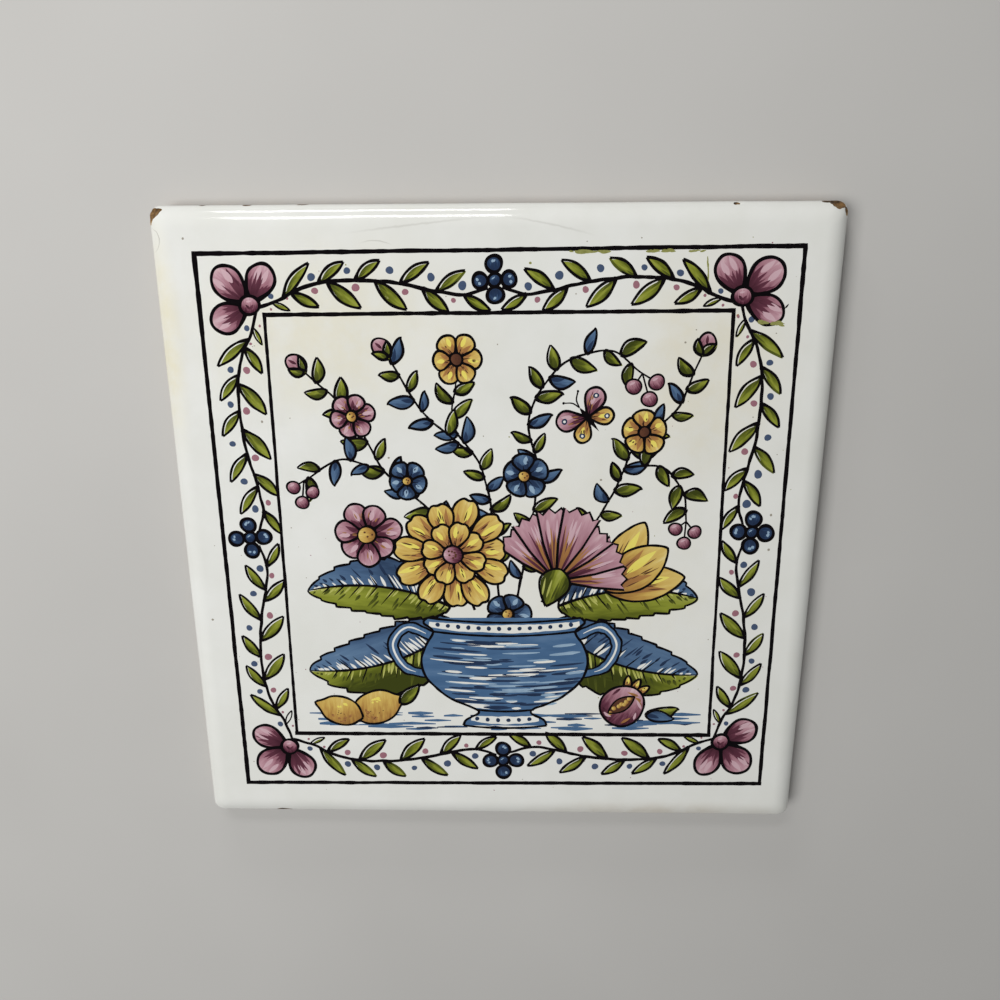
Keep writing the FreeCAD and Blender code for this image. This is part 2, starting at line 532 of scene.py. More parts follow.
def petal(base, tip, width, fill, dashes=4, belly=0.66, roundness=0.55, notch=0.0):
    """One outlined petal, shaded along its flanks, lit near its tip and dashed, with a notch in its tip."""
    axis = tip - base
    length = np.linalg.norm(axis)
    normal = np.array([-axis[1], axis[0]]) / length
    outline = around(*blade(base, tip, width, belly=belly, roundness=roundness))
    sideways = (outline - base) @ normal / (0.15 * width)
    forward = (outline - base) @ axis / length**2
    outline -= np.outer(notch * np.exp(-(sideways**2)) * (forward > 0.75), axis)

    def touch(start, end, near, far, thickness, color, bow=0.0):
        foot = base + axis * start + normal * near * width
        head = base + axis * end + normal * far * width
        stroke(foot, head, thickness, color, bow)

    shade, fine, light = TOUCHES[fill]
    paint(outline, fill, base, tip)
    for side in (-1, 1):
        far = side * vary(0.2, 0.34)
        touch(0.04, vary(0.5, 0.84), side * 0.08, far, 0.18 * width + 0.2, shade, -side * 0.04 * width)
    touch(0.02, vary(0.3, 0.45), 0.0, vary(-0.08, 0.08), 0.28 * width, shade)
    lit = vary(-0.18, 0.18)
    touch(vary(0.36, 0.46), vary(0.8, 0.92), lit * 0.7, lit * 1.3, 0.18 * width + 0.2, light)
    for k in range(dashes):
        offset = vary(-0.3, 0.3)
        start = vary(0.14, 0.6)
        touch(start, start + vary(0.12, 0.26), offset * 0.8, offset, vary(0.24, 0.36), fine)
    pen([base + axis * 0.1, base + axis * vary(0.35, 0.5) + normal * width * 0.05], 0.3, (1, 0.2))
    outlined(outline, FLOWER_LINE, FLOWER_SHAKE)


def petal_ring(center, start, radius, count, fill, turn, dashes, notch=0.0):
    """Petals all round a point, every other one in front."""
    width = 1.5 * math.pi * radius / count
    for k in list(range(0, count, 2)) + list(range(1, count, 2)):
        angle = turn + 360 * k / count + vary(-4, 4)
        tip = polar(center, radius * vary(0.9, 1.06), angle)
        petal(polar(center, start, angle), tip, width, fill, dashes, notch=notch)


def eye(center, radius, fill, dots):
    """Round middle of a flower with a few dots."""
    paint(oval(center, radius, phase=center[0]), "black_line")
    paint(oval(center, radius - 0.5, phase=center[1]), fill)
    for k in range(dots):
        dab(polar(center, radius * vary(0.1, 0.5), 137 * k), 0.07 * radius + 0.1, "umber")


def double_rose(center, radius, fill, middle, turn=0.0):
    """Large flower with an outer and an inner ring of notched petals."""
    petal_ring(center, radius * 0.25, radius, 11, fill, turn, 6, 0.07)
    petal_ring(center, radius * 0.08, radius * 0.58, 8, fill, turn + 20, 4, 0.07)
    eye(center, radius * 0.18, middle, 7)


def small_flower(center, radius, fill, middle, petals=5, turn=0.0):
    """Flower with one ring of petals."""
    petal_ring(center, radius * 0.12, radius, petals, fill, turn, 3)
    eye(center, radius * 0.3, middle, 3)


def carnation(foot, degrees, size):
    """Flower seen from the side: a fan of petals with saw-toothed edges over a green cup."""
    cup = polar(foot, size * 0.28, degrees)
    for lean in (-64, 64, -43, 43, -21, 21, 0):
        reach = size * (0.74 - 0.0012 * abs(lean)) * vary(0.95, 1.04)
        tip = polar(cup, reach, degrees + lean)
        axis = tip - cup
        across = np.array([-axis[1], axis[0]]) * 0.24
        steps = enumerate(np.linspace(1, -1, 7))
        teeth = [tip + across * k - axis * (0.05 * k * k + 0.07 * (i % 2)) for i, k in steps]
        flank = across * 0.12
        left = cup + (teeth[0] - cup) * 0.55 + flank
        right = cup + (teeth[-1] - cup) * 0.55 - flank
        outline = np.vstack([cup, left, teeth, right, cup])
        paint(outline[:-1], "petal_pink", cup - axis * 0.1, tip + axis * 0.1)
        for k in range(14):
            shift = across * vary(-0.85, 0.85)
            start, end = (0.5, 0.85) if k % 3 == 2 else (0.12, vary(0.5, 0.8))
            near, far = (cup + axis * share + shift * share for share in (start, end))
            stroke(near, far, 0.62, TOUCHES["petal_pink"][k % 3])
        pen(outline, FLOWER_LINE, (1, 1))
    left, right = blade(foot, cup + (cup - foot) * 0.45, size * 0.3, belly=0.62, roundness=0.6)
    paint(around(left, right), "leaf_green", foot, cup)
    for offset in (-0.14, -0.05, 0.05, 0.14):
        side = polar((0, 0), size * offset * 0.5, degrees + 90)
        color = "leaf_light" if offset > 0 else "leaf_shade"
        stroke(foot + (cup - foot) * 0.3 + side, cup + side * 1.5, 0.5, color)
    for edge in (left, right):
        pen(edge, FLOWER_LINE, (1.2, 1))


def tulip(foot, degrees, size):
    """Cup-shaped flower of two side petals and one in front."""
    for lean, reach, width in ((-26, 1.0, 0.46), (26, 1.0, 0.46), (0, 0.94, 0.52)):
        tip = polar(foot, size * reach, degrees + lean)
        petal(foot, tip, size * width, "petal_yellow", 9, belly=0.5, roundness=0.7)


def berries(end, degrees, radius=1.5):
    """Three round berries at the end of a twig."""
    for lean, reach in ((-48, 2.0), (44, 2.2), (2, 3.5)):
        middle = polar(end, radius * reach, degrees + lean)
        pen([end, middle], 0.42, (1, 1))
        paint(oval(middle, radius + 0.22, phase=lean), "black_line")
        low, high = polar(middle, radius, -60), polar(middle, radius, 120)
        paint(oval(middle, radius - 0.2, phase=lean), "petal_pink", low, high)
        stroke(polar(middle, radius * 0.6, 160), polar(middle, radius * 0.6, 70), 0.5, "pale_pink")


def bud(base, degrees, size=5.0):
    """Closed bud in two green sepals."""
    middle = polar(base, size * 0.5, degrees)
    outline = oval(middle, size * 0.5, size * 0.4, math.radians(degrees))
    paint(outline, "petal_pink", base, polar(base, size, degrees))
    stroke(middle, polar(base, size * 0.9, degrees + 8), 0.7, "plum")
    outlined(outline, 0.5)
    for lean in (-34, 34):
        sprig_leaf(base, degrees + lean, size * 0.75, "leaf_green")


def toothed(path, teeth, depth, side):
    """A path with uneven saw teeth to one side that point along it."""
    share = share_along(path)
    fade = np.minimum(1, np.minimum(share, 1 - share) * 6)
    tooth = share**0.85 * teeth
    size = np.array([vary(0.4, 1.1) for k in range(teeth + 1)])[tooth.astype(int)]
    return path + left_of(path) * (side * depth * fade * size * (tooth % 1.0))[:, None]


def big_leaf(base, tip, width, bow, upper="leaf_green", lower="leaf_blue"):
    """Broad leaf with a toothed edge, another colour either side of its rib and combed strokes."""
    left, right = blade(base, tip, width, bow, belly=0.44, roundness=0.68, step=0.4)
    rib = (left + right) / 2
    last = len(rib) - 1
    for edge, side, fill in ((left, 1, upper), (right, -1, lower)):
        edge = toothed(edge, 11, width * 0.065, side)
        paint(np.vstack([edge, rib[::-1]]), fill, base, tip)
        for k in range(int(last * 0.06), int(last * 0.86), 2):
            ahead = min(k + rng.randint(7, 11), last)
            outer = edge[ahead]
            light = rng.random() < 0.6
            start = 0.02 if light else vary(0.2, 0.5)
            foot = rib[k] + (outer - rib[k]) * start
            head = rib[k] + (outer - rib[k]) * (start + vary(0.25, 0.5))
            stroke(foot, head, vary(0.4, 0.8), COMBED[fill][0 if light else 1])
        for k in range(int(last * 0.12), int(last * 0.8), 8):
            outer = rib[k] + (edge[min(k + 9, last)] - rib[k]) * vary(0.4, 0.65)
            pen([rib[k], (rib[k] + outer) / 2, outer], 0.36, (1.1, 0.2))
        pen(tremor(edge, 0.12), FLOWER_LINE, (1, 0.8))
    pen(rib, 0.62, (1.2, 0.4))


def butterfly(center, degrees, size):
    """Butterfly seen from above, its head pointing the given way."""
    root = polar(center, size * 0.08, degrees)
    wings = ((125, 0.95, 0.62, "petal_yellow"), (60, 1.15, 0.74, "petal_pink"))
    for lean, reach, width, fill in wings:
        for side in (-1, 1):
            tip = polar(root, size * reach, degrees + side * lean)
            petal(root, tip, size * width, fill, 5, belly=0.68)
            spot = polar(root, size * reach * 0.74, degrees + side * lean)
            dab(spot, size * 0.11, "navy")
            dab(spot, size * 0.05, "white_glaze")
    head = polar(center, size * 0.55, degrees)
    paint(around(*blade(polar(center, -size * 0.6, degrees), head, size * 0.2, belly=0.6)), "black_line")
    for side in (-1, 1):
        bend, end = polar(head, size * 0.3, degrees + 18 * side), polar(head, size * 0.6, degrees + 34 * side)
        pen(spline([head, bend, end], 0.3), 0.32, (0.9, 0.9))
        dab(end, 0.3, "black_line")


def lemon(center, degrees, size):
    """Lemon with its nipple pointing the given way, darker underneath."""
    angle = np.linspace(-math.pi, math.pi, 44, endpoint=False)
    nipple = 0.3 * np.exp(-((angle / 0.3) ** 2))
    stalk = 0.1 * np.exp(-(((np.abs(angle) - math.pi) / 0.25) ** 2))
    x, y = size * np.cos(angle) * (1 + nipple + stalk), 0.74 * size * np.sin(angle)
    c, s = math.cos(math.radians(degrees)), math.sin(math.radians(degrees))
    outline = np.stack([x * c - y * s, x * s + y * c], axis=1) + center
    paint(outline, "petal_yellow", (center[0], center[1] - size), (center[0], center[1] + size))
    for k in range(14):
        low = k % 2 == 0
        lean = vary(200, 340) if low else vary(50, 130)
        reach = size * (vary(0.42, 0.62) if low else vary(0.2, 0.5))
        near, far = polar(center, reach, lean - 12), polar(center, reach, lean + 12)
        stroke(near, far, vary(0.4, 0.7), "ochre" if low else "sun_yellow")
    for k in range(7):
        dab(polar(center, size * vary(0.1, 0.6), vary(180, 360)), 0.14, "umber")
    outlined(outline, FLOWER_LINE, FLOWER_SHAKE)


def pomegranate(center, degrees, size):
    """Round fruit, split to show its seeds, with a crown at the end that points the given way."""
    for lean in (-16, 16, 0):
        foot = polar(center, size * 0.85, degrees + lean)
        tip = polar(center, size * 1.5, degrees + lean * 1.3)
        petal(foot, tip, size * 0.34, "petal_yellow", 2, belly=0.4)
    low, high = polar(center, size, degrees + 180), polar(center, size, degrees)
    outline = oval(center, size, size * 0.96, phase=size)
    paint(outline, "petal_pink", low, high)
    for k in range(12):
        angle = vary(0, 360)
        near, far = polar(center, size * 0.86, angle), polar(center, size * 0.7, angle + vary(20, 40))
        stroke(near, far, 0.7, TOUCHES["petal_pink"][k % 3])
    ends = [polar(center, size * 0.7, degrees + lean) for lean in (150, -20)]
    split = blade(*ends, size * 0.62)
    paint(around(*split), "umber")
    for k in range(7):
        along = (k + 1.2) / 8.6
        seed = split[0][0] * (1 - along) + split[0][-1] * along
        dab(seed + scatter(0.25), size * 0.1, "petal_yellow")
    outlined(around(*split), 0.45)
    outlined(outline, FLOWER_LINE, FLOWER_SHAKE)


# Half outline of the bowl about its axis, from the rim down
BOWL_AXIS = 1.0
BOWL_PROFILE = [
    (18.5, -20.0), (19.4, -21.4), (17.2, -23.6), (19.0, -27.0), (20.4, -31.5), (18.8, -36.5), (13.5, -41.5),
    (7.5, -44.2), (6.6, -45.6), (9.6, -47.4), (10.4, -49.0),
]
BOWL_HANDLE = [(17.2, -25.0), (23.5, -22.5), (27.2, -27.0), (24.5, -33.0), (19.0, -35.0)]
BOWL_SAG = 1.4
BOWL_LINE = 0.62
BOWL_STROKES = 120
GROUND_STROKES = 64
BOWL_BANDS = [(-20.0, 18.5), (-23.6, 17.2), (-44.6, 7.2), (-49.0, 10.4)]


def sagging(height, half, start=-1.0, end=1.0):
    """Level curve across the bowl as its roundness makes it look."""
    share = np.linspace(start, end, max(4, int((end - start) * half / 0.8)))
    return np.stack([BOWL_AXIS + half * share, height - BOWL_SAG * (1 - share**2) * half / 20], axis=1)


def bowl_handle(side):
    """Curved handle at the left or the right, with a bare line along it."""
    curve = spline([(BOWL_AXIS + side * x, y) for x, y in BOWL_HANDLE])
    paint(ribbon(curve, 3.1, (0.9, 0.7)), "black_line")
    paint(ribbon(curve, 2.0, (0.9, 0.7)), "wash_blue", curve[0], curve[-1])
    pen(curve[4:-6], 0.5, (0.3, 0.3), "white_glaze")


def bowl():
    """Two-handled bowl washed with blue, with dark and bare strokes across it."""
    for side in (-1, 1):
        bowl_handle(side)
    profile = spline(BOWL_PROFILE)
    right, left = profile + (BOWL_AXIS, 0), profile * (-1, 1) + (BOWL_AXIS, 0)
    paint(np.vstack([left, right[::-1]]), "wash_blue", (BOWL_AXIS - 20, -34), (BOWL_AXIS + 20, -34))
    for k in range(BOWL_STROKES):
        height = vary(-43.6, -25.0)
        half = float(np.interp(-height - BOWL_SAG, -profile[:, 1], profile[:, 0])) - 0.8
        start = vary(-1, 0.8)
        end = min(1, start + vary(0.12, 0.6))
        color = ("navy", "white_glaze", "navy", "pale_blue")[k % 4]
        pen(sagging(height, half, start, end), vary(0.35, 0.75), (0.4, 0.3), color)
    for height, half in ((-21.7, 18.2), (-47.0, 8.4)):
        pen(sagging(height, half), 2.0, (0.7, 0.7), "white_glaze")
        for x, y in sagging(height, half * 0.93)[1::3]:
            dab((x, y), 0.55, "navy")
    for height, half in BOWL_BANDS:
        pen(sagging(height, half), 0.58, (1, 1))
    for edge in (left, right):
        pen(tremor(edge, 0.15), BOWL_LINE, (1, 1))


def ground():
    """Level brush strokes that the bowl and the fruit stand on."""
    for k in range(GROUND_STROKES):
        x, y = vary(-49, 46), vary(-50.2, -45.4)
        end = min(x + vary(3, 12), 49.5)
        line = [(x, y), ((x + end) / 2, y + vary(-0.15, 0.15)), (end, y)]
        pen(line, vary(0.5, 1.1), (0.5, 0.3), "navy" if k % 4 == 3 else "wash_blue")


def panel():
    """Everything inside the inner frame line, from the back to the front."""
    ground()
    bud(*twig([(-6, -18), (-14, 4), (-26, 16), (-33, 29), (-43, 39)]))
    end, _ = twig([(-26, 16), (-36, 19), (-45, 14)], lead=4)
    berries(end, -100)
    end, _ = twig([(0, -16), (-3, 14), (-10, 27), (-9, 38)])
    small_flower(end + (0, 3.5), 5.6, "petal_yellow", "umber", 6)
    bud(*twig([(-6, 20), (-17, 30), (-24, 42)], lead=4))
    end, _ = twig([(4, -16), (9, 14), (7, 28), (14, 40), (25, 43), (32, 38)])
    berries(end, -75, 1.7)
    bud(*twig([(10, -16), (26, 10), (31, 22), (40, 30), (45, 42)]))
    end, _ = twig([(29, 17), (37, 17), (42.5, 11), (43.5, 4)], lead=4, length=5.6)
    berries(end, -95)
    small_flower((33, 25), 5.2, "petal_yellow", "umber", 5, 20)
    small_flower((-33, 29), 5.2, "petal_pink", "petal_yellow", 6, 10)
    butterfly((20.5, 28), 130, 6.2)
    big_leaf((-10, -22), (-47, -34), 17, 4.0)
    big_leaf((-12, -17), (-46, -13), 14, -3.0)
    big_leaf((12, -22), (48, -35), 17, -4.0, "leaf_blue", "leaf_green")
    big_leaf((14, -17), (47, -15), 14, 3.0, "leaf_blue", "leaf_green")
    lemon((-31, -44), 20, 6.0)
    lemon((-40, -45), 160, 5.2)
    sprig_leaf((-25, -43), 40, 7, "leaf_green")
    pomegranate((30, -43.5), 60, 5.6)
    sprig_leaf((36, -46), 20, 8, "leaf_green", -1)
    sprig_leaf((36, -46), -14, 7, "leaf_blue")
    tulip((25, -13), 36, 19)
    small_flower((-31, 1), 8.0, "petal_pink", "petal_yellow", 7, 15)
    carnation((11, -17), 70, 24.5)
    double_rose((-11, -4), 14.2, "petal_yellow", "petal_pink", 8)
    small_flower((6, 15), 5.4, "leaf_blue", "petal_yellow", 5, 20)
    small_flower((-21, 14), 4.6, "leaf_blue", "petal_yellow", 5, 50)
    small_flower((2, -19), 5.4, "leaf_blue", "petal_yellow", 5, 0)
    bowl()


# Wear of the print: stray specks under it and smears of green over it

SMEARS = [
    ((15.0, 63.95), (24.6, 63.9), 0.7), ((31.8, 63.9), (38.6, 64.0), 0.6),
    ((40.4, 63.9), (45.0, 63.9), 0.45), ((44.9, 63.9), (45.6, 56.9), 0.34),
    ((55.0, 49.2), (62.4, 48.5), 0.75), ((-24.6, 55.6), (-23.2, 54.2), 0.3),
]
SPECK_COUNT = 130
SPECK_RANGE = (-68, 67)
SPECK_RADII = (0.07, 0.17)
SPECK_COLORS = ("grime", "smear", "grime", "dot_mauve")
STRAY_DOTS = [
    ((7.3, 61.8), 0.3, "smear"), ((52.2, 50.4), 0.32, "ochre"), ((11.5, -13.5), 0.42, "sun_yellow"),
    ((-67.3, 67.6), 0.26, "grime"), ((-69.9, -20.5), 0.3, "grime"), ((62.9, -2.9), 0.32, "grime"),
    ((62.8, 5.5), 0.3, "grime"), ((-53.6, 27.9), 0.28, "grime"), ((23.5, 10.2), 0.34, "grime"),
    ((23.5, 14.0), 0.28, "grime"), ((-25.1, 19.4), 0.26, "grime"), ((41.2, 44.8), 0.24, "grime"),
]


def smears():
    """Green that strayed from its plate, dragged in long broken touches."""
    for start, end, width in SMEARS:
        start, end = np.array(start), np.array(end)
        for k in range(max(2, round(np.linalg.norm(end - start) * 1.6))):
            near = vary(0, 0.8)
            far = min(1.0, near + vary(0.1, 0.35))
            foot = start + (end - start) * near + scatter(width * 0.2)
            head = start + (end - start) * far + scatter(width * 0.2)
            stroke(foot, head, width * vary(0.5, 1.1), "smear")


def specks():
    """Pin-point dirt and stray pigment over the whole face."""
    for k in range(SPECK_COUNT):
        place = (vary(*SPECK_RANGE), vary(*SPECK_RANGE))
        dab(place, vary(*SPECK_RADII), SPECK_COLORS[k % 4])
    for place, radius, color in STRAY_DOTS:
        dab(place, radius, color)
    stroke((62.2, 51.8), (63.0, 52.8), 0.4, "black_line")


specks()
border()
panel()
smears()


# Body of the tile


def rounded_square(half, radius, height, bow=0.0):
    """Closed ring of points, as many for every size: four sides, bowed outwards, and four corner arcs."""
    ring = []
    for quarter in range(4):
        turn = Matrix.Rotation(quarter * math.pi / 2, 2)
        side = half - radius
        for k in range(SIDE_SEGMENTS):
            share = 2 * k / SIDE_SEGMENTS - 1
            ring.append(turn @ Vector((half + bow * (1 - share * share), side * share)))
        for k in range(CORNER_SEGMENTS):
            angle = math.pi / 2 * k / CORNER_SEGMENTS
            ring.append(turn @ Vector((side + radius * math.cos(angle), side + radius * math.sin(angle))))
    return [Vector((p.x, p.y, height)) for p in ring]


def patch_rim():
    """Edge of the painted patch, bowed a little so that no three of its points are in line."""
    return rounded_square(PATCH_HALF, INNER_CORNER_RADIUS, THICKNESS, PATCH_BOW)


def wave(point, pitch, seed):
    """Smooth noise over the plan, from -1 to 1."""
    return noise.noise(Vector((point.x / pitch, point.y / pitch, seed)))


def body_rings():
    """Rings from the painted patch out over the cushioned edge, down the sides and in under the back."""
    rings = [(patch_rim(), "white_glaze")]
    for k in range(CUSHION_RINGS + 1):
        angle = math.pi / 2 * k / CUSHION_RINGS
        lateral = math.sin(angle)
        radius = INNER_CORNER_RADIUS + (CORNER_RADIUS - INNER_CORNER_RADIUS) * lateral
        height = SHOULDER_HEIGHT + EDGE_DROP * math.cos(angle)
        ring = rounded_square(FLAT_HALF + EDGE_WIDTH * lateral, radius, height)
        for p in ring:
            sink = EDGE_SINK * lateral * (0.5 + 0.5 * wave(p, 14, 1))
            p.x -= math.copysign(sink, p.x) if abs(p.x) > FLAT_HALF else 0
            p.y -= math.copysign(sink, p.y) if abs(p.y) > FLAT_HALF else 0
        rings.append((ring, "white_glaze"))
    foot = rounded_square(HALF_SIDE - FOOT_INSET, CORNER_RADIUS, GLAZE_FOOT)
    for p in foot:
        p.z += FOOT_WAVE * wave(p, 9, 5) + FOOT_RIPPLE * wave(p, 3, 6)
    inset = 1 - GLAZE_STEP / HALF_SIDE
    step = [Vector((p.x * inset, p.y * inset, p.z - GLAZE_LIP)) for p in foot]
    return rings + [
        (foot, "white_glaze"),
        (step, "white_glaze"),
        (rounded_square(HALF_SIDE - GLAZE_STEP, CORNER_RADIUS, BACK_BEVEL), "biscuit"),
        (rounded_square(HALF_SIDE - BACK_BEVEL, CORNER_RADIUS, 0), "biscuit"),
    ]


def mesh_from(name, verts, faces, slots, materials):
    mesh = bpy.data.meshes.new(name)
    mesh.from_pydata([tuple(v) for v in verts], [], faces)
    for material in materials:
        mesh.materials.append(material)
    mesh.polygons.foreach_set("material_index", slots)
    mesh.attributes.new("brush", "FLOAT_VECTOR", "CORNER")
    return mesh


def body_mesh(materials, slot_of):
    """Closed body whose flat top is one face, to be swapped for the painted patch."""
    rings = body_rings()
    count = len(rings[0][0])
    verts = [p for ring, _ in rings for p in ring]
    faces = [tuple(range(count))]
    slots = [slot_of["black_line"]]
    for k in range(1, len(rings)):
        inner, outer = (k - 1) * count, k * count
        for i in range(count):
            j = (i + 1) % count
            faces.append((inner + i, outer + i, outer + j, inner + j))
            slots.append(slot_of[rings[k][1]])
    last = (len(rings) - 1) * count
    faces.append(tuple(range(last + count - 1, last - 1, -1)))
    slots.append(slot_of["biscuit"])
    return mesh_from("body", [v * MM for v in verts], faces, slots, materials)


# Flat partition of the painted face; points nearer than the weld become one

WELD = 1e-3


def inside(points, outline):
    """Which points lie inside a closed outline, by winding number."""
    x, y = points[:, :1], points[:, 1:]
    x0, y0 = outline[:, 0], outline[:, 1]
    x1, y1 = np.roll(x0, -1), np.roll(y0, -1)
    side = (x1 - x0) * (y - y0) - (x - x0) * (y1 - y0)
    up = (y0 <= y) & (y1 > y) & (side > 0)
    down = (y0 > y) & (y1 <= y) & (side < 0)
    return (up.sum(1) - down.sum(1)) != 0


def on_face(points):
    """From the drawing's place to the tile's: the print sits a little turned and off the middle."""
    c, s = math.cos(PRINT_TURN), math.sin(PRINT_TURN)
    return np.asarray(points) @ np.array([[c, s], [-s, c]]) + np.array(PRINT_SHIFT)


def triangulated(rim, lines):
    """Points and triangles of the patch inside its rim, cut along the given lines of two points."""
    points = list(rim)
    edges = []
    for line in lines:
        edges.append((len(points), len(points) + 1))
        points += [Vector(p) for p in line]
    verts, _, triangles, *_ = delaunay_2d_cdt(points, edges, [list(range(len(rim)))], 1, WELD, False)
    return np.array([tuple(v) for v in verts]), np.array(triangles)


def covering_marks(flat, corners, outlines):
    """For each triangle the number of the last mark that covers its middle, or -1."""
    middles = flat[corners].mean(axis=1)
    top = np.full(len(corners), -1)
    for index, outline in enumerate(outlines):
        low, high = outline.min(0), outline.max(0)
        near = np.where(((middles >= low) & (middles <= high)).all(axis=1))[0]
        top[near[inside(middles[near], outline)]] = index
    return top


def seen_edges(flat, corners, groups):
    """The lines between triangles of different groups: edges of marks that no later mark hides."""
    sides = np.concatenate([corners[:, [0, 1]], corners[:, [1, 2]], corners[:, [2, 0]]])
    sides.sort(axis=1)
    owners = np.tile(groups, 3)
    order = np.lexsort((sides[:, 1], sides[:, 0]))
    sides, owners = sides[order], owners[order]
    shared = (sides[1:] == sides[:-1]).all(axis=1) & (owners[1:] != owners[:-1])
    return flat[sides[1:][shared]]


def painted_patch(materials, slot_of):
    """The flat top cut along the seen edges of all marks, each piece wearing the last mark that covers it."""
    rim = [p.to_2d() for p in patch_rim()]
    outlines = [on_face(outline) for outline, *_ in marks]
    lines = np.concatenate([np.stack([o, np.roll(o, -1, axis=0)], axis=1) for o in outlines])
    flat, corners = triangulated(rim, lines)
    merged = {"black_line": len(marks), "white_glaze": -1}
    group_of = np.array([merged.get(mark[1], k) for k, mark in enumerate(marks)] + [-1])
    groups = group_of[covering_marks(flat, corners, outlines)]
    flat, corners = triangulated(rim, seen_edges(flat, corners, groups))
    top = covering_marks(flat, corners, outlines)
    slots = [slot_of["white_glaze"] if k < 0 else slot_of[marks[k][1]] for k in top]
    solid = [(x * MM, y * MM, THICKNESS * MM) for x, y in flat]
    mesh = mesh_from("patch", solid, corners.tolist(), slots, materials)
    brush = np.zeros((len(corners), 3, 3))
    starts = on_face([m[2] for m in marks])
    ways = on_face([m[3] for m in marks]) - starts
    worn = np.where(top >= 0)[0]
    which = top[worn]
    offset = flat[corners[worn]] - starts[which][:, None, :]
    way = ways[which][:, None, :]
    length = np.maximum(np.linalg.norm(way, axis=2), 0.5) ** 2
    brush[worn, :, 0] = (offset * way).sum(axis=2) / length
    brush[worn, :, 1] = (offset[..., 1] * way[..., 0] - offset[..., 0] * way[..., 1]) / length
    brush[worn, :, 2] = np.array([m[4] for m in marks])[which][:, None]
    mesh.attributes["brush"].data.foreach_set("vector", brush.ravel())
    return mesh


# Materials


def srgb(red, green, blue):
    """Linear colour from the 0 to 255 values that a screen shows."""
    channels = [c / 255 for c in (red, green, blue)]
    return tuple(c / 12.92 if c <= 0.04045 else ((c + 0.055) / 1.055) ** 2.4 for c in channels) + (1.0,)


class Nodes:
    """Short way to add and join the nodes of one material."""

    def __init__(self, name):
        self.material = bpy.data.materials.new(name)
        self.material.use_nodes = True
        self.tree = self.material.node_tree
        self.shader = self.tree.nodes["Principled BSDF"]

    def add(self, kind, inputs=None, **settings):
        node = self.tree.nodes.new(kind)
        for key, value in settings.items():
            setattr(node, key, value)
        for key, value in (inputs or {}).items():
            self.put(node.inputs[key], value)
        return node

    def put(self, socket, value):
        if isinstance(value, bpy.types.NodeSocket):
            self.tree.links.new(value, socket)
        else:
            socket.default_value = value

    def dress(self, inputs):
        """Sets inputs of the shader and returns the material."""
        for key, value in inputs.items():
            self.put(self.shader.inputs[key], value)
        return self.material

    def place(self):
        return self.add("ShaderNodeTexCoord").outputs["Object"]

    def math(self, operation, a, b=0.0, clamp=False):
        return self.add("ShaderNodeMath", {0: a, 1: b}, operation=operation, use_clamp=clamp).outputs[0]

    def vector(self, operation, *values):
        node = self.add("ShaderNodeVectorMath", dict(enumerate(values)), operation=operation)
        return node.outputs["Value" if operation == "LENGTH" else "Vector"]

    def noise(self, vector, scale, detail=2.0, roughness=0.5, output="Fac"):
        inputs = {"Vector": vector, "Scale": scale, "Detail": detail, "Roughness": roughness}
        return self.add("ShaderNodeTexNoise", inputs).outputs[output]

    def stretched(self, vector, scale):
        return self.add("ShaderNodeMapping", {"Vector": vector, "Scale": scale}).outputs[0]

    def ramp(self, value, stops):
        node = self.add("ShaderNodeValToRGB", {"Fac": value})
        elements = node.color_ramp.elements
        while len(elements) < len(stops):
            elements.new(1.0)
        for element, (position, colour) in zip(elements, stops):
            element.position = position
            element.color = srgb(*colour)
        return node.outputs[0]

    def mapped(self, value, low, high, to_low=0.0, to_high=1.0, kind="SMOOTHSTEP"):
        inputs = {"Value": value, "From Min": low, "From Max": high, "To Min": to_low, "To Max": to_high}
        return self.add("ShaderNodeMapRange", inputs, interpolation_type=kind).outputs[0]

    def blend(self, share, below, above):
        node = self.add("ShaderNodeMix", {"Factor": share}, data_type="RGBA")
        for socket, value in zip([i for i in node.inputs if i.type == "RGBA"], (below, above)):
            self.put(socket, value)
        return next(o for o in node.outputs if o.type == "RGBA")

    def local(self, place, center, scale):
        """Place as seen from a centre given in millimetres, at a scale."""
        inputs = {"Vector": place, "Location": Vector(center) * MM, "Scale": scale}
        return self.add("ShaderNodeMapping", inputs, vector_type="TEXTURE").outputs[0]

    def spot(self, place, center, radii):
        """1 in the middle of an oval given in millimetres, fading to 0 at its edge."""
        local = self.local(place, center, Vector(radii) * MM)
        return self.mapped(self.vector("LENGTH", local), 1.0, 0.15)

    def arc(self, place, center, radius, width):
        """1 on a circle about an upright axis, given in millimetres, and 0 beyond its width."""
        flat = self.vector("MULTIPLY", self.local(place, (*center, 0), (MM, MM, 1.0)), (1, 1, 0))
        off = self.math("ABSOLUTE", self.math("SUBTRACT", self.vector("LENGTH", flat), radius))
        return self.mapped(off, width / 2, 0.0)

    def bump(self, height, distance, strength=1.0):
        inputs = {"Height": height, "Distance": distance, "Strength": strength}
        return self.add("ShaderNodeBump", inputs).outputs[0]


# Glaze: roughness of the bare white and of the painted colours and how much it varies, depth of the waves in
# metres, index of refraction
WHITE_GLOSS = 0.035
PAINT_GLOSS = 0.1
GLOSS_RANGE = 0.08
GLAZE_RELIEF = 0.00012
GLAZE_IOR = 1.5


